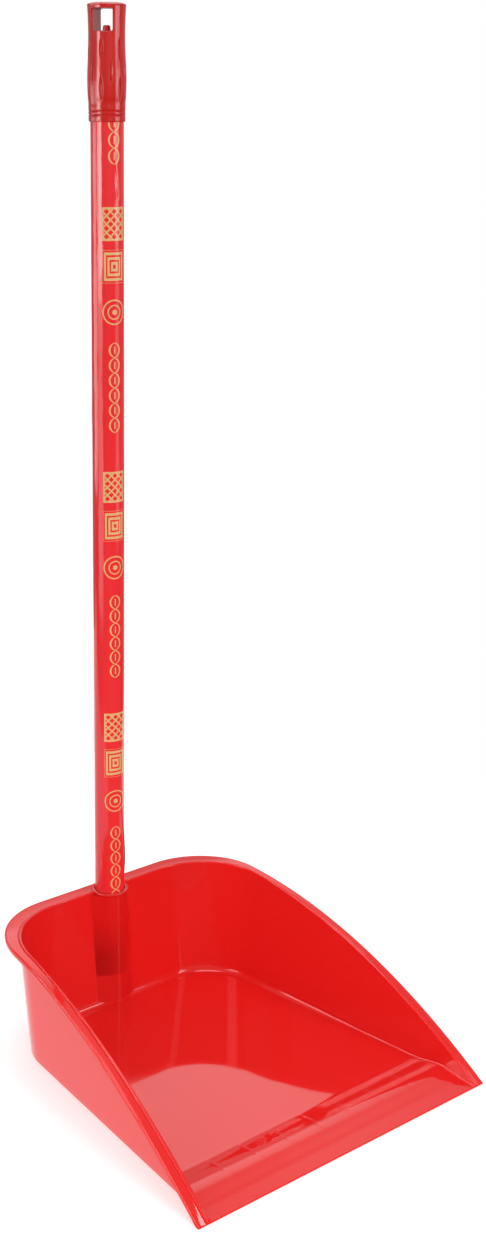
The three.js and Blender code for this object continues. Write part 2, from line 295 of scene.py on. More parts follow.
def floor_columns():
    """Distances of the floor's columns from the middle: close together at each rib, wider between."""
    half = RIB_THICK / 2
    near = [-2.8, -1.9, -1.2, -half - 0.02, -half, 0, half, half + 0.02, 1.2, 1.9, 2.8]
    columns = [-POCKET_HALF, -POCKET_HALF + 0.02, -103, -94]
    for rib in RIBS:
        if rib > RIBS[0]:
            columns += [lerp(columns[-1], rib + near[0], k / 4) for k in (1, 2, 3)]
        columns += [rib + offset for offset in near]
    return columns + [94, 103, POCKET_HALF - 0.02, POCKET_HALF]


def underside(x, y):
    """Height of the pan's underside: flat on the floor, with ribbed pockets under the crest."""
    skin = ramp_top(y) - RAMP_SKIN
    in_rib = any(abs(x - rib) <= RIB_THICK / 2 + 1e-6 for rib in RIBS)
    if not 8 < y < CREST_END - 6 or skin < 0.4 or in_rib or abs(x) > POCKET_HALF - 0.01:
        return 0.0
    return skin


def build_pan_shell():
    """The pan without its socket, as one closed mesh."""
    columns = floor_columns()
    last_column = len(columns) + 1
    rows = SIDE_ROWS + ARC_ROWS
    mesh = bmesh.new()

    def vert(point):
        return mesh.verts.new(place(*point))

    profiles = [wall_profile(r) for r in range(rows + 1)]
    widest = profiles[FINE_ROWS][0][0]
    right = [[vert(p) for p in profile] for profile in profiles]
    left = [[vert((-x, y, z)) for x, y, z in profile] for profile in profiles]
    rear = []
    for column in columns:
        rear.append([vert((x * column / widest, y, z)) for x, y, z in profiles[rows]])

    ring = left + rear + right[::-1]
    for a, b in zip(ring, ring[1:]):
        for j in range(len(a) - 1):
            mesh.faces.new((a[j], b[j], b[j + 1], a[j + 1]))

    def fill(index, height):
        previous = None
        for r in range(rows + 1):
            x, y, z = profiles[r][index]
            narrow = min(1, x / widest)
            if r == rows:
                inner = [column[index] for column in rear]
            else:
                inner = [vert((c * narrow, y, height(c * narrow, y))) for c in columns]
            line = [left[r][index], *inner, right[r][index]]
            if previous:
                for c in range(last_column):
                    mesh.faces.new((previous[c], previous[c + 1], line[c + 1], line[c]))
            previous = line

    fill(0, floor_top)
    fill(-1, underside)
    front = [e for e in mesh.edges if e.is_boundary]
    bmesh.ops.holes_fill(mesh, edges=front, sides=0)
    bmesh.ops.recalc_face_normals(mesh, faces=mesh.faces)
    return mesh


def revolve(profile, steps, closed=False):
    """A mesh turned about the handle axis from (radius, height) pairs in millimetres."""
    mesh = bmesh.new()
    rings = []
    for radius, z in profile:
        if radius == 0:
            rings.append([mesh.verts.new(place(0, AXIS_LOCAL, z))])
            continue
        ring = []
        for k in range(steps):
            angle = 2 * math.pi * k / steps
            x = radius * math.cos(angle)
            y = AXIS_LOCAL + radius * math.sin(angle)
            ring.append(mesh.verts.new(place(x, y, z)))
        rings.append(ring)
    pairs = list(zip(rings, rings[1:]))
    if closed:
        pairs.append((rings[-1], rings[0]))
    for a, b in pairs:
        for k in range(steps):
            n = (k + 1) % steps
            if len(a) == 1:
                mesh.faces.new((a[0], b[n], b[k]))
            elif len(b) == 1:
                mesh.faces.new((a[k], a[n], b[0]))
            else:
                mesh.faces.new((a[k], a[n], b[n], b[k]))
    bmesh.ops.recalc_face_normals(mesh, faces=mesh.faces)
    return mesh


def to_object(mesh, name):
    data = bpy.data.meshes.new(name)
    mesh.to_mesh(data)
    mesh.free()
    piece = bpy.data.objects.new(name, data)
    bpy.context.scene.collection.objects.link(piece)
    return piece


def bake_modifier(piece, modifier):
    bpy.context.view_layer.update()
    depsgraph = bpy.context.evaluated_depsgraph_get()
    data = bpy.data.meshes.new_from_object(piece.evaluated_get(depsgraph))
    piece.modifiers.remove(modifier)
    piece.data = data


def apply_boolean(piece, tool, operation):
    modifier = piece.modifiers.new("cut", "BOOLEAN")
    modifier.operation = operation
    modifier.solver = "EXACT"
    modifier.object = tool
    bake_modifier(piece, modifier)
    bpy.data.objects.remove(tool)


def smooth_shade(piece, sharp_degrees):
    """Smooth shading between sharp edges, with broad faces kept flat beside narrow ones."""
    for polygon in piece.data.polygons:
        polygon.use_smooth = True
    mesh = bmesh.new()
    mesh.from_mesh(piece.data)
    for edge in mesh.edges:
        edge.smooth = edge.calc_face_angle(0) < math.radians(sharp_degrees)
    mesh.to_mesh(piece.data)
    mesh.free()
    modifier = piece.modifiers.new("weighted", "WEIGHTED_NORMAL")
    modifier.keep_sharp = True
    bake_modifier(piece, modifier)


def socket_section(z):
    """Outline of the column at height z: a circle, tied to the back wall by a flank on each side."""
    radius = curve_through(SOCKET_SKIN, z)
    half_width_at_wall = curve_through(WEB_HALF, z)
    face = PAN_DEPTH + REAR_DRAFT * z - WALL - AXIS_LOCAL + 0.05
    behind = face + 1
    back = RIM_REAR - AXIS_LOCAL - 0.1
    touch = math.atan2(face, half_width_at_wall) - math.acos(radius / math.hypot(half_width_at_wall, face))
    rise = touch + math.pi / 2
    centre_x = half_width_at_wall + WEB_FILLET * math.tan(rise / 2)
    centre_y = face - WEB_FILLET
    half = []
    for k in range(7):
        angle = math.pi / 2 + rise * k / 6
        half.append((centre_x + WEB_FILLET * math.cos(angle), centre_y + WEB_FILLET * math.sin(angle)))
    for k in range(25):
        angle = lerp(touch, -math.pi / 2, k / 24)
        half.append((radius * math.cos(angle), radius * math.sin(angle)))
    rear = [(centre_x, behind)]
    start = math.asin(behind / radius)
    for k in range(17):
        angle = lerp(start, math.pi / 2, k / 16)
        rear.append((radius * math.cos(angle), min(radius * math.sin(angle), back)))
    right = rear[::-1] + half
    return right + [(-x, y) for x, y in right[-2:0:-1]]


def socket_column():
    heights = [0.4] + [SOCKET_SKIN[-1][0] * k / 30 for k in range(1, 31)]
    mesh = bmesh.new()
    rings = []
    for z in heights:
        rings.append([mesh.verts.new(place(x, AXIS_LOCAL + y, z)) for x, y in socket_section(z)])
    for a, b in zip(rings, rings[1:]):
        for k in range(len(a)):
            n = (k + 1) % len(a)
            mesh.faces.new((a[k], a[n], b[n], b[k]))
    mesh.faces.new(rings[0])
    mesh.faces.new(rings[-1])
    bmesh.ops.recalc_face_normals(mesh, faces=mesh.faces)
    return to_object(mesh, "socket_column")


def mouth_ring():
    """The rounded ring round the socket's mouth."""
    ring_r = 1.3
    neck_r, neck_z = SOCKET_SKIN[-1][1], SOCKET_SKIN[-1][0]
    profile = [(0, neck_z - 3), (neck_r - 0.3, neck_z - 3), (neck_r - 0.3, neck_z - 0.4)]
    centre_z = SOCKET_TOP - ring_r
    steps = 10
    for k in range(steps + 1):
        angle = math.radians(lerp(-75, 90, k / steps))
        profile.append((MOUTH_R - ring_r + ring_r * math.cos(angle), centre_z + ring_r * math.sin(angle)))
    profile.append((0, SOCKET_TOP))
    return to_object(revolve(profile, TURNED_STEPS), "mouth_ring")


def build_pan():
    pan = to_object(build_pan_shell(), "pan_moulding")
    apply_boolean(pan, socket_column(), "UNION")
    apply_boolean(pan, mouth_ring(), "UNION")
    mouth = SOCKET_TOP + 3
    bore_profile = [(0, FLOOR), (STOP_R, FLOOR), (STOP_R, STOP_Z), (BORE_R, STOP_Z),
                    (BORE_R, SOCKET_TOP - 0.5), (BORE_R + 0.5, SOCKET_TOP), (BORE_R + 0.5, mouth), (0, mouth)]
    bore = to_object(revolve(bore_profile, TURNED_STEPS), "socket_bore")
    apply_boolean(pan, bore, "DIFFERENCE")
    smooth_shade(pan, 32)
    return pan


# ---------------------------------------------------------------- the handle's pieces
FILM_THICK = 0.08
FILM_R = 11.1
FILM_LOW_Z = FILM_LOW.z / MM
FILM_HIGH_Z = FILM_HIGH.z / MM
SOCKET_MOUTH_Z = SOCKET_TOP + 4
CAP_LOW_Z = CAP_LOW.z / MM
CAP_HIGH_Z = CAP_HIGH.z / MM
SLOT_YAW = math.radians(35.6)
SLOT_WIDTH = 13.7
SLOT_LOW_Z = CAP_HIGH_Z - 17.8
SLOT_HIGH_Z = CAP_HIGH_Z - 3.9


def build_tube():
    """Thin steel tube with eased ends and the weld bead along its bore."""
    radius = (TUBE_HIGH.x - TUBE_LOW.x) / 2 / MM
    bore = radius - 0.4
    low = TUBE_LOW.z / MM
    high = TUBE_HIGH.z / MM
    ease = 0.12
    profile = [(bore + ease, low), (radius - ease, low), (radius, low + ease), (radius, high - ease),
               (radius - ease, high), (bore + ease, high), (bore, high - ease), (bore, low + ease)]
    mesh = revolve(profile, TURNED_STEPS, closed=True)
    for vertex in mesh.verts:
        x = vertex.co.x / MM
        y = (vertex.co.y - AXIS_Y) / MM
        r = math.hypot(x, y)
        if r < bore + 0.05:
            bead = 0.35 * math.exp(-(math.atan2(y, x) * bore / 0.9) ** 2)
            vertex.co.x *= (r - bead) / r
            vertex.co.y = AXIS_Y + (vertex.co.y - AXIS_Y) * (r - bead) / r
    tube = to_object(mesh, "steel_tube")
    smooth_shade(tube, 40)
    return tube


# (height, heading in degrees) of the film's free edge, and (height, rise) of where it has come loose.
SEAM_ANGLE = [(20, -18), (100, -32), (118, -40), (165, -74), (300, -68), (420, -50), (560, -58), (660, -35)]
SEAM_LIFT = [(104, 0), (118, 0.5), (150, 0.38), (185, 0.3), (260, 0.2), (310, 0.03), (600, 0.02)]
FILM_OVERLAP = 20
# Creases in the film, each from one (height, heading in degrees) to another, with its rise and half-width.
CREASES = (
    ((630, -97), (601, -74), 0.26, 0.75),
    ((616, -86), (604, -94), 0.18, 0.6),
    ((190, -133), (177, -129), 0.16, 0.5),
    ((143, -178), (123, -160), 0.2, 0.6),
    ((262, -101), (231, -96), 0.12, 0.7),
    ((395, -152), (352, -146), 0.1, 0.8),
    ((508, -158), (470, -151), 0.1, 0.8),
    ((560, -20), (525, -28), 0.16, 0.7),
    ((330, 65), (301, 72), 0.16, 0.7),
    ((470, 140), (449, 148), 0.16, 0.7),
)


def crease_rise(heading, z):
    """How far the creases lift the film at a heading in degrees and a height."""
    rise = 0.0
    for (z0, a0), (z1, a1), height, half in CREASES:
        if not min(z0, z1) - 4 < z < max(z0, z1) + 4:
            continue
        along = (z - z0) / (z1 - z0)
        off = math.radians((heading - lerp(a0, a1, clamp(along)) + 180) % 360 - 180) * FILM_R
        past = max(0.0, -along, along - 1) * abs(z1 - z0)
        taper = math.sin(math.pi * clamp(along, 0.12, 0.88))
        rise += height * taper * math.exp(-(off * off + past * past) / (half * half))
    return rise


def film_radius(turn, heading, z):
    """Outer radius of the film. turn is in degrees from the seam's free edge, from 0 to 380."""
    free = smooth((z - SOCKET_MOUTH_Z) / 14) * smooth((CAP_LOW_Z - 3 - z) / 14)
    theta = math.radians(heading)
    across = Vector((math.cos(theta), math.sin(theta), 0))
    wave = noise.noise(across * 1.9 + Vector((0, 0, z * 0.03)))
    grain = noise.noise(across * 7 + Vector((0, 0, z * 0.05 + 7)))
    radius = FILM_R + free * (crease_rise(heading, z) - 0.11 * abs(wave) - 0.035 * abs(grain))
    if turn < FILM_OVERLAP:
        lift = free * max(curve_through(SEAM_LIFT, z), 0)
        step = FILM_THICK + 0.015
        radius += step * smooth((FILM_OVERLAP + 6 - turn) / 8) + lift * (1 - turn / FILM_OVERLAP) ** 1.6
    return radius


def build_film():
    """The printed film: one sheet wrapped round the tube, whose outer edge overlaps its inner one."""
    around = 180
    along = 320
    full_turn = 360 + FILM_OVERLAP - 1
    mesh = bmesh.new()
    outer = []
    inner = []
    for k in range(along + 1):
        z = lerp(FILM_LOW_Z, FILM_HIGH_Z, k / along)
        start = curve_through(SEAM_ANGLE, z)
        outer_ring = []
        inner_ring = []
        for i in range(around + 1):
            turn = full_turn * i / around
            angle = math.radians(start + turn)
            radius = film_radius(turn, start + turn, z)
            direction = Vector((math.cos(angle), math.sin(angle), 0))
            centre = Vector((0, AXIS_LOCAL, z))
            outer_ring.append(mesh.verts.new(place(*(centre + direction * radius))))
            inner_ring.append(mesh.verts.new(place(*(centre + direction * (radius - FILM_THICK)))))
        outer.append(outer_ring)
        inner.append(inner_ring)
    for k in range(along):
        for i in range(around):
            mesh.faces.new((outer[k][i], outer[k][i + 1], outer[k + 1][i + 1], outer[k + 1][i]))
            mesh.faces.new((inner[k][i], inner[k + 1][i], inner[k + 1][i + 1], inner[k][i + 1]))
        for i in (0, around):
            mesh.faces.new((outer[k][i], outer[k + 1][i], inner[k + 1][i], inner[k][i]))
    for k in (0, along):
        for i in range(around):
            mesh.faces.new((outer[k][i], inner[k][i], inner[k][i + 1], outer[k][i + 1]))
    bmesh.ops.recalc_face_normals(mesh, faces=mesh.faces)
    film = to_object(mesh, "printed_film")
    smooth_shade(film, 50)
    return film


# (height above the lower rim, radius) of the cap.
CAP_SKIN = [(0, 12.2), (9, 12.3), (12, 12.3), (16, 12.65), (25, 12.95), (32, 12.85), (40, 12.45), (50, 12.15),
            (58, 12.15), (66, 12.4), (74.4, 12.85)]
CAP_GROOVES = (4.2, 6.9)
DIMPLE_COLUMNS = 12
# (height, half height) of the dimples in every other column, and of the one in the columns between.
DIMPLE_RISES = (((21.4, 7.9), (45.5, 7.4)), ((31.2, 6.4),))
DIMPLE_HALF = 1.6
DIMPLE_DEPTH = 1.2
CROWN_RISE = 1.9


def cap_radius(angle, z):
    """Outer radius of the cap at an angle from the slot's near end and a height above its lower rim."""
    radius = curve_through(CAP_SKIN, z)
    for groove in CAP_GROOVES:
        radius -= 0.3 * bump(z, groove, 0.4)
    pitch = 2 * math.pi / DIMPLE_COLUMNS
    column = round(angle / pitch)
    across = (angle - column * pitch) * radius
    for rise, half_height in DIMPLE_RISES[column % 2]:
        along = 1 - ((z - rise) / half_height) ** 2
        if along > 0:
            reach = min(abs(across) / (DIMPLE_HALF * along), 1)
            radius -= DIMPLE_DEPTH * math.sqrt(along) * (1 - reach ** 2) ** 2
    return radius


def cap_body():
    around = 300
    rise = CAP_HIGH_Z - CAP_LOW_Z
    side_top = rise - CROWN_RISE
    heights = [side_top * k / 160 for k in range(161)]
    mesh = bmesh.new()
    rings = []

    def ring(radius_at, z):
        line = []
        for k in range(around):
            angle = 2 * math.pi * k / around
            heading = angle + SLOT_YAW + math.pi
            radius = radius_at(angle)
            x = radius * math.cos(heading)
            y = AXIS_LOCAL + radius * math.sin(heading)
            line.append(mesh.verts.new(place(x, y, CAP_LOW_Z + z)))
        rings.append(line)

    ring(lambda a: CAP_SKIN[0][1] - 0.25, 0)
    for z in heights[1:]:
        ring(lambda a: cap_radius(a, z), z)
    edge = curve_through(CAP_SKIN, side_top)
    ring(lambda a: edge + 0.12, side_top + 0.25)
    ring(lambda a: edge + 0.02, side_top + 0.45)
    for share in (0.97, 0.93, 0.87, 0.8, 0.7, 0.55, 0.3):
        ring(lambda a: edge * share, rise - (CROWN_RISE - 0.5) * share ** 5)
    for a, b in zip(rings, rings[1:]):
        for k in range(around):
            n = (k + 1) % around
            mesh.faces.new((a[k], a[n], b[n], b[k]))
    mesh.faces.new(rings[0])
    mesh.faces.new(rings[-1])
    bmesh.ops.recalc_face_normals(mesh, faces=mesh.faces)
    return to_object(mesh, "hanging_cap_moulding")


def slot_tool():
    """Rounded rectangular prism along the slot, flaring where it leaves the cap to ease its edges."""
    half_w = SLOT_WIDTH / 2
    half_h = (SLOT_HIGH_Z - SLOT_LOW_Z) / 2
    middle = (SLOT_HIGH_Z + SLOT_LOW_Z) / 2
    corner = 1.2
    outline = []
    for sx, sz, first in ((1, 1, 0), (-1, 1, 90), (-1, -1, 180), (1, -1, 270)):
        for k in range(6):
            angle = math.radians(first + 18 * k)
            outline.append((sx * (half_w - corner) + corner * math.cos(angle),
                            sz * (half_h - corner) + corner * math.sin(angle)))
    mesh = bmesh.new()
    rings = []
    steps = 60
    reach = 15
    for k in range(steps + 1):
        s = lerp(-reach, reach, k / steps)
        line = []
        for u, h in outline:
            flare = 1 + 0.09 * smooth((math.hypot(s, u) - 11.4) / 1.6)
            x = s * math.cos(SLOT_YAW) - u * flare * math.sin(SLOT_YAW)
            y = s * math.sin(SLOT_YAW) + u * flare * math.cos(SLOT_YAW)
            line.append(mesh.verts.new(place(x, AXIS_LOCAL + y, middle + h * (1 + (flare - 1) * 0.5))))
        rings.append(line)
    count = len(outline)
    for a, b in zip(rings, rings[1:]):
        for k in range(count):
            n = (k + 1) % count
            mesh.faces.new((a[k], a[n], b[n], b[k]))
    mesh.faces.new(rings[0])
    mesh.faces.new(rings[-1])
    bmesh.ops.recalc_face_normals(mesh, faces=mesh.faces)
    return to_object(mesh, "slot_cut")


def slot_nub():
    """Small tapered block that stands on the slot's floor."""
    mesh = bmesh.new()
    levels = [(SLOT_LOW_Z - 0.6, 2.6), (SLOT_LOW_Z + 3.0, 2.05), (SLOT_LOW_Z + 3.6, 1.6)]
    rings = []
    for z, half in levels:
        line = []
        for k in range(24):
            angle = 2 * math.pi * k / 24 + math.pi / 24
            square = half / max(abs(math.cos(angle)), abs(math.sin(angle))) ** 0.8
            heading = angle + SLOT_YAW
            line.append(mesh.verts.new(place(square * math.cos(heading),
                                             AXIS_LOCAL + square * math.sin(heading), z)))
        rings.append(line)
    for a, b in zip(rings, rings[1:]):
        for k in range(24):
            n = (k + 1) % 24
            mesh.faces.new((a[k], a[n], b[n], b[k]))
    mesh.faces.new(rings[0])
    mesh.faces.new(rings[-1])
    bmesh.ops.recalc_face_normals(mesh, faces=mesh.faces)
    return to_object(mesh, "slot_nub_block")


def build_cap():
    cap = cap_body()
    apply_boolean(cap, slot_tool(), "DIFFERENCE")
    apply_boolean(cap, slot_nub(), "UNION")
    top = TUBE_HIGH.z / MM + 0.3
    below = CAP_LOW_Z - 3
    tool = revolve([(0, below), (BORE_R + 0.3, below), (BORE_R + 0.3, CAP_LOW_Z), (BORE_R, CAP_LOW_Z + 0.4),
                    (BORE_R, top), (0, top)], TURNED_STEPS)
    apply_boolean(cap, to_object(tool, "cap_bore"), "DIFFERENCE")
    smooth_shade(cap, 38)
    return cap


# ---------------------------------------------------------------- materials
class Nodes:
    """Short names for building a material's nodes."""

    def __init__(self, name):
        self.material = bpy.data.materials.new(name)
        self.material.use_nodes = True
        self.tree = self.material.node_tree
        self.shader = self.tree.nodes["Principled BSDF"]
        coordinates = self.tree.nodes.new("ShaderNodeTexCoord")
        self.position = coordinates.outputs["Object"]
        split = self.tree.nodes.new("ShaderNodeSeparateXYZ")
        self.tree.links.new(self.position, split.inputs[0])
        self.x, self.y, self.z = split.outputs

    def feed(self, value, socket):
        if isinstance(value, bpy.types.NodeSocket):
            self.tree.links.new(value, socket)
        else:
            socket.default_value = value

    def math(self, operation, a, b=0.0, c=0.0):
        node = self.tree.nodes.new("ShaderNodeMath")
        node.operation = operation
        for value, socket in zip((a, b, c), node.inputs):
            self.feed(value, socket)
        return node.outputs[0]

    def add(self, a, b):
        return self.math("ADD", a, b)

    def sub(self, a, b):
        return self.math("SUBTRACT", a, b)

    def mul(self, a, b):
        return self.math("MULTIPLY", a, b)

    def both(self, a, b):
        return self.math("MINIMUM", a, b)

    def either(self, a, b):
        return self.math("MAXIMUM", a, b)

    def step(self, low, high, value):
        """0 below low, 1 above high, smooth between; low may be the larger."""
        node = self.tree.nodes.new("ShaderNodeMapRange")
        node.interpolation_type = "SMOOTHSTEP"
        self.feed(value, node.inputs["Value"])
        node.inputs["From Min"].default_value = low
        node.inputs["From Max"].default_value = high
        return node.outputs["Result"]

    def noise(self, scale, detail=3.0, roughness=0.5, stretch=(1, 1, 1)):
        mapping = self.tree.nodes.new("ShaderNodeMapping")
        mapping.inputs["Scale"].default_value = stretch
        self.tree.links.new(self.position, mapping.inputs["Vector"])
        node = self.tree.nodes.new("ShaderNodeTexNoise")
        node.inputs["Scale"].default_value = scale
        node.inputs["Detail"].default_value = detail
        node.inputs["Roughness"].default_value = roughness
        self.tree.links.new(mapping.outputs[0], node.inputs["Vector"])
        return node.outputs["Fac"]

    def mix(self, factor, a, b):
        node = self.tree.nodes.new("ShaderNodeMix")
        node.data_type = "RGBA"
        self.feed(factor, node.inputs["Factor"])
        self.feed(a, node.inputs["A"])
        self.feed(b, node.inputs["B"])
        return node.outputs["Result"]

    def bump(self, height):
        """A normal from a height in metres."""
        node = self.tree.nodes.new("ShaderNodeBump")
        node.inputs["Distance"].default_value = 1.0
        node.inputs["Strength"].default_value = 1.0
        self.feed(height, node.inputs["Height"])
        return node.outputs["Normal"]

    def set(self, **values):
        for name, value in values.items():
            self.feed(value, self.shader.inputs[name.replace("_", " ")])


def rgb(r, g, b):
    """An sRGB colour in 0 to 255 as linear RGBA."""
    def linear(c):
        c /= 255
        return c / 12.92 if c <= 0.04045 else ((c + 0.055) / 1.055) ** 2.4
    return (linear(r), linear(g), linear(b), 1.0)


def pan_material():
    n = Nodes("red_gloss_polypropylene")
    base = n.mix(n.noise(9, 2), rgb(238, 37, 34), rgb(234, 33, 31))

    # Painted shade on the socket column, front and back: the whole column is darkened a little, and more in a
    # zone that stands for the tube seen through its wall.
    # It is fixed to the pan: deepest just above the tube's foot at rest, and on the column's -X side, where
    # it is painted shade of how the light falls.
    column = n.both(n.both(n.step(-0.0184, -0.0176, n.x), n.step(0.0142, 0.0122, n.x)),
                    n.both(n.step(-0.0195, -0.0185, n.sub(n.y, AXIS_Y)), n.step(0.003, 0.005, n.z)))
    inserted = n.mul(n.step(0.0245, 0.0275, n.z), n.step(0.076, 0.034, n.z))
    # Painted shade, growing towards the column's -X side.
    painted_shade_on_left = n.step(0.013, -0.016, n.x)
    painted_column_shade = n.mul(column, n.add(0.17, n.mul(n.mul(inserted, painted_shade_on_left), 0.45)))
    # Mix in the dark red of the painted shade.
    base = n.mix(painted_column_shade, base, rgb(128, 4, 4))

    peel = n.noise(420, 2)
    flow = n.noise(26, 2, stretch=(1, 1, 0.35))
    height = n.add(n.mul(peel, 0.0000035), n.mul(flow, 0.00006))
    scuff = n.noise(60, 6, 0.7, stretch=(1, 6, 1))
    roughness = n.add(0.045, n.mul(n.step(0.55, 0.8, scuff), 0.05))
    n.set(Base_Color=base, Roughness=roughness, Normal=n.bump(height))
    n.shader.inputs["IOR"].default_value = 1.5
    return n.material


def print_mask(n):
    """The film's gold ornament: lattice panels, ringed dots and a chain of leaves, repeated up the tube."""
    repeat = 0.180
    first = 0.5985
    facing = math.radians(-102)
    angle = n.math("ARCTAN2", n.sub(n.y, AXIS_Y), n.x)
    turned = n.math("WRAP", n.sub(angle, facing), math.pi, -math.pi)
    across = n.mul(turned, FILM_R)
    size = n.math("ABSOLUTE", across)
    down = n.mul(n.math("FLOORED_MODULO", n.sub(first, n.z), repeat), 1 / MM)
    soft = 0.12

    def within(value, limit):
        return n.step(limit + soft, limit - soft, value)

    half = 8.6
    tall = 11

    def panel(start):
        local = n.sub(down, start + tall)
        inside = n.both(within(size, half), within(n.math("ABSOLUTE", local), tall))
        square = n.either(n.mul(size, 1 / half), n.mul(n.math("ABSOLUTE", local), 1 / tall))
        return local, inside, square

    local, inside, square = panel(0)
    diagonal = 5.5
    one = n.math("PINGPONG", n.add(across, local), diagonal / 2)
    two = n.math("PINGPONG", n.sub(across, local), diagonal / 2)
    lattice = n.either(within(one, 0.75), within(two, 0.75))
    frame_band = n.step(0.86, 0.89, square)
    first_panel = n.both(inside, n.either(lattice, frame_band))

    local, inside, square = panel(28)
    rings = n.math("FRACT", n.mul(square, 3.5))
    second_panel = n.both(inside, n.step(0.40, 0.46, rings))

    ring_at = n.sub(down, 69.5)
    reach = n.math("SQRT", n.add(n.mul(across, across), n.mul(ring_at, ring_at)))
    ring = within(n.math("ABSOLUTE", n.sub(reach, 8.1)), 0.45)
    inner_ring = within(n.math("ABSOLUTE", n.sub(reach, 4.6)), 0.4)
    ringed = n.either(n.either(ring, inner_ring), within(reach, 1.7))

    leaf_pitch = 10.4
    chain = n.both(n.step(89.9, 90.1, down), n.step(152.5, 152.3, down))
    along = n.sub(n.math("FLOORED_MODULO", n.sub(down, 90), leaf_pitch), leaf_pitch / 2)
    length = 5.1
    width = 3.7
    bow = (length * length + width * width) / (2 * width)
    edge = n.sub(n.math("SQRT", n.either(n.sub(bow * bow, n.mul(along, along)), 0.0)), bow - width)
    outline = within(n.math("ABSOLUTE", n.sub(size, edge)), 0.55)
    rib = n.both(within(size, 0.4), within(n.math("ABSOLUTE", along), 2.4))
    leaves = n.both(chain, n.either(outline, rib))

    return n.either(n.either(first_panel, second_panel), n.either(ringed, leaves))


def film_material():
    n = Nodes("printed_red_film")
    mottle = n.noise(30, 3, stretch=(1, 1, 0.2))
    red = n.mix(mottle, rgb(236, 49, 53), rgb(228, 42, 46))
    worn = n.noise(900, 2)
    ink = n.mul(print_mask(n), n.sub(1.0, n.mul(n.step(0.62, 0.8, worn), 0.35)))
    base = n.mix(ink, red, rgb(222, 178, 116))
    creases = n.noise(150, 3, 0.6, stretch=(1, 1, 0.12))
    fine = n.noise(900, 2)
    normal = n.bump(n.add(n.mul(creases, 0.00014), n.mul(fine, 0.000004)))
    n.set(Base_Color=base, Roughness=n.add(0.09, n.mul(ink, 0.12)), Normal=normal)
    n.shader.inputs["IOR"].default_value = 1.52
    return n.material


def cap_material():
    n = Nodes("red_cap_plastic")
    base = n.mix(n.noise(40, 2), rgb(201, 31, 26), rgb(193, 27, 22))
    normal = n.bump(n.mul(n.noise(600, 2), 0.000003))
    n.set(Base_Color=base, Roughness=n.add(0.15, n.mul(n.noise(300, 3), 0.06)), Normal=normal)
    n.shader.inputs["IOR"].default_value = 1.5
    return n.material


def steel_material():
    n = Nodes("bare_tube_steel")
    streak = n.noise(700, 4, 0.6, stretch=(1, 1, 0.02))
    base = n.mix(streak, rgb(176, 178, 180), rgb(146, 148, 150))
    normal = n.bump(n.mul(streak, 0.000008))
    n.set(Base_Color=base, Roughness=n.add(0.28, n.mul(streak, 0.14)), Normal=normal)
    n.shader.inputs["Metallic"].default_value = 1.0
    return n.material


def stage_material():
    n = Nodes("pale_floor")
    base = n.mix(n.noise(3, 3), rgb(236, 236, 236), rgb(232, 232, 232))
    n.set(Base_Color=base, Roughness=0.9)
    n.shader.inputs["Specular IOR Level"].default_value = 0.1
    n.shader.inputs["Emission Color"].default_value = (1, 1, 1, 1)
    n.shader.inputs["Emission Strength"].default_value = 0.45
    return n.material


# ---------------------------------------------------------------- the scene
def dress(piece, material, body, slot_name, *nodes):
    piece.data.materials.clear()
    piece.data.materials.append(material)
    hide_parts(*nodes)
    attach(piece, body)


def make_stage():
    mesh = bmesh.new()
    bmesh.ops.create_circle(mesh, cap_ends=True, segments=96, radius=0.62)
    ground = to_object(mesh, "floor_stage")
    ground.location = (0, 0, PAN_LOW.z - 0.0004)
    ground.data.materials.append(stage_material())
    ground.visible_glossy = False


def make_camera():
    """A camera in front of the mouth's left corner, looking a little down at the whole dustpan."""
    heading = math.radians(-39.95)
    tilt = math.radians(18.33)
    roll = math.radians(0.73 - 0.06)
    reach = math.cos(tilt)
    forward = Vector((-math.sin(heading) * reach, math.cos(heading) * reach, -math.sin(tilt)))
    level = Vector((math.cos(heading), math.sin(heading), 0))
    up = level.cross(forward)
    right = math.cos(roll) * level + math.sin(roll) * up
    up = -math.sin(roll) * level + math.cos(roll) * up
    data = bpy.data.cameras.new("camera")
    data.sensor_fit = "VERTICAL"
    data.sensor_height = 36
    data.lens = 51.73
    data.shift_x = 0.0427
    data.shift_y = 0.0235
    data.clip_start = 0.05
    camera = bpy.data.objects.new("camera", data)
    turn = Matrix((right, up, -forward)).transposed()
    camera.matrix_world = Matrix.Translation((-0.7397, -0.85, 0.6932)) @ turn.to_4x4()
    bpy.context.scene.collection.objects.link(camera)
    bpy.context.scene.camera = camera


def softbox(name, position, target, width, height, radiance, mirrored=True, lit=True, only=None):
    """An area light of a given radiance. mirrored: seen in reflections. lit: lights matt surfaces.
    only: a collection it is kept to."""
    data = bpy.data.lights.new(name, "AREA")
    data.shape = "RECTANGLE"
    data.size = width
    data.size_y = height
    data.energy = radiance * math.pi * width * height
    light = bpy.data.objects.new(name, data)
    light.location = position
    light.rotation_euler = (Vector(target) - Vector(position)).to_track_quat("-Z", "Y").to_euler()
    light.visible_glossy = mirrored
    light.visible_diffuse = lit
    if only:
        light.light_linking.receiver_collection = only
    light.visible_camera = False
    bpy.context.scene.collection.objects.link(light)


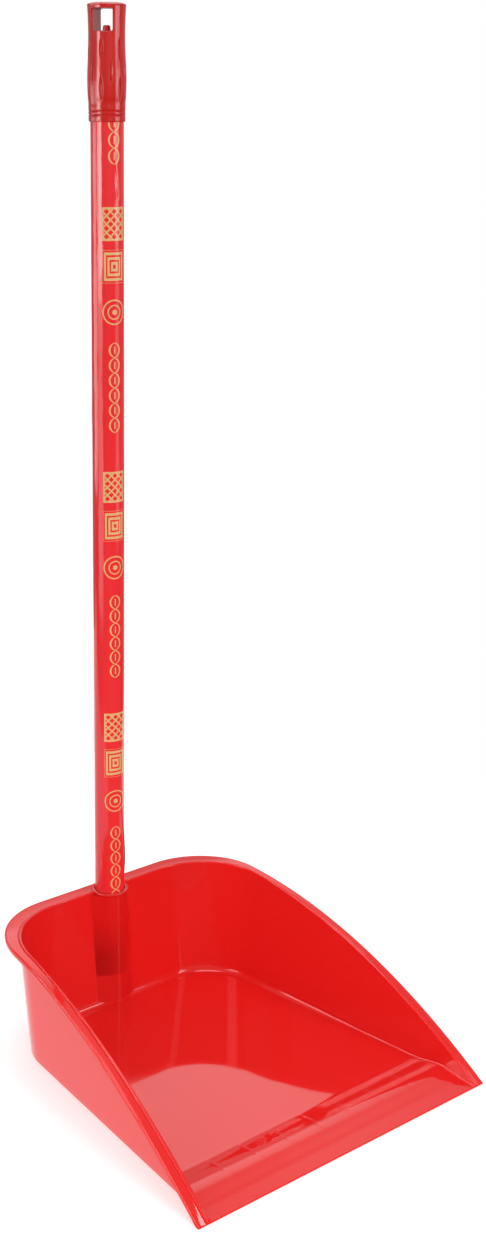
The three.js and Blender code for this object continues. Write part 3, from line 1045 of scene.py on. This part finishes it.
def make_lights(pan, handle):
    """Soft panels and a graded surround. Some panels are kept to the pan or to the handle's pieces."""
    softbox("left_box", (-1.9, 0.1, 1.15), (0, 0, 0.5), 0.62, 1.8, 3.4)
    softbox("left_top", (-1.85, 0.1, 0.73), (0, 0.1, 0.73), 0.5, 0.25, 6.5, lit=False, only=handle)
    softbox("left_glint", (-1.85, 0.25, 0.45), (0, 0.1, 0.45), 1.2, 0.31, 5.5, lit=False, only=handle)
    softbox("left_low", (-1.85, 0.25, 0.02), (0, 0.1, 0.02), 1.3, 0.56, 2.0, lit=False, only=handle)
    softbox("left_rear", (-1.25, 1.35, 0.3), (0, 0.1, 0.3), 1.1, 0.6, 3.2, lit=False, only=handle)
    softbox("left_fill", (-1.9, 0.1, 0.4), (0, 0.1, 0.4), 0.8, 0.8, 1.6, mirrored=False, only=handle)
    softbox("right_box", (0.75, -1.75, 1.25), (0, 0, 0.5), 0.42, 1.7, 2.2)
    softbox("right_panel", (1.09, -1.55, 0.62), (0, 0.12, 0.62), 1.05, 0.46, 3.6, only=handle)
    softbox("right_low", (1.09, -1.55, 0.11), (0, 0.12, 0.11), 1.05, 0.56, 1.2, only=handle)
    softbox("side_glint", (-1.5, 0.9, 1.09), (0, 0, 0.06), 1.2, 0.34, 10.0, lit=False, only=pan)
    softbox("rear_glint", (1.0, -1.15, 1.75), (0, 0.12, 0.09), 0.7, 0.3, 9.0, lit=False, only=pan)
    softbox("top_box", (0.15, 0.15, 2.3), (0, 0, 0), 0.9, 0.9, 3.9)
    softbox("front_fill", (-0.7, -2.3, 0.9), (0, 0, 0.1), 1.6, 1.2, 4.1, mirrored=False)
    softbox("floor_bounce", (0, 0.47, PAN_LOW.z - 0.0002), (0, 0.47, 1), 1.2, 1.2, 0.82, lit=False)
    world = bpy.data.worlds.new("studio")
    world.use_nodes = True
    bpy.context.scene.world = world
    tree = world.node_tree
    background = tree.nodes["Background"]
    background.inputs["Color"].default_value = (1, 1, 1, 1)
    where = tree.nodes.new("ShaderNodeTexCoord")

    def link(value, socket):
        if isinstance(value, bpy.types.NodeSocket):
            tree.links.new(value, socket)
        else:
            socket.default_value = value

    def along(direction):
        node = tree.nodes.new("ShaderNodeVectorMath")
        node.operation = "DOT_PRODUCT"
        tree.links.new(where.outputs["Generated"], node.inputs[0])
        node.inputs[1].default_value = direction
        return node.outputs["Value"]

    def ramp(value, low, high, start, end):
        node = tree.nodes.new("ShaderNodeMapRange")
        node.interpolation_type = "SMOOTHSTEP"
        tree.links.new(value, node.inputs["Value"])
        for name, number in (("From Min", low), ("From Max", high), ("To Min", start), ("To Max", end)):
            node.inputs[name].default_value = number
        return node.outputs["Result"]

    def combine(operation, a, b):
        node = tree.nodes.new("ShaderNodeMath")
        node.operation = operation
        link(a, node.inputs[0])
        link(b, node.inputs[1])
        return node.outputs[0]

    height = along((0, 0, 1))
    behind = ramp(along((0.6, 0.8, 0)), 0.15, 0.5, 0.0, 1.0)
    overhead = combine("MULTIPLY", ramp(height, 0.42, 0.495, 0.0, 1.25), ramp(height, 0.62, 0.78, 1.0, 0.2))
    overhead = combine("MULTIPLY", overhead, ramp(along((1, 0, 0)), 0.57, 0.67, 1.0, 0.25))
    horizon = combine("MULTIPLY", behind, 0.15)
    base = ramp(height, -0.14, 0.0, 0.1, 0.35)
    glow = combine("ADD", combine("ADD", base, horizon), combine("MULTIPLY", overhead, behind))
    path = tree.nodes.new("ShaderNodeLightPath")
    unlit = combine("SUBTRACT", 1.0, path.outputs["Is Camera Ray"])
    strength = combine("ADD", combine("MULTIPLY", glow, unlit), path.outputs["Is Camera Ray"])
    tree.links.new(strength, background.inputs["Strength"])


def together(name, *pieces):
    group = bpy.data.collections.new(name)
    for piece in pieces:
        group.objects.link(piece)
    return group


make_camera()
make_stage()
moulding = build_pan()
tube = build_tube()
film = build_film()
cap = build_cap()
dress(moulding, pan_material(), "pan", "pan_plastic", "pan")
dress(tube, steel_material(), "handle", "tube_steel", "handle_tube")
dress(film, film_material(), "handle", "sleeve_film", "handle_film")
dress(cap, cap_material(), "handle", "cap_plastic", "hanging_cap")
make_lights(together("pan_pieces", moulding), together("handle_pieces", tube, film, cap))
bpy.context.scene.view_settings.view_transform = "Standard"
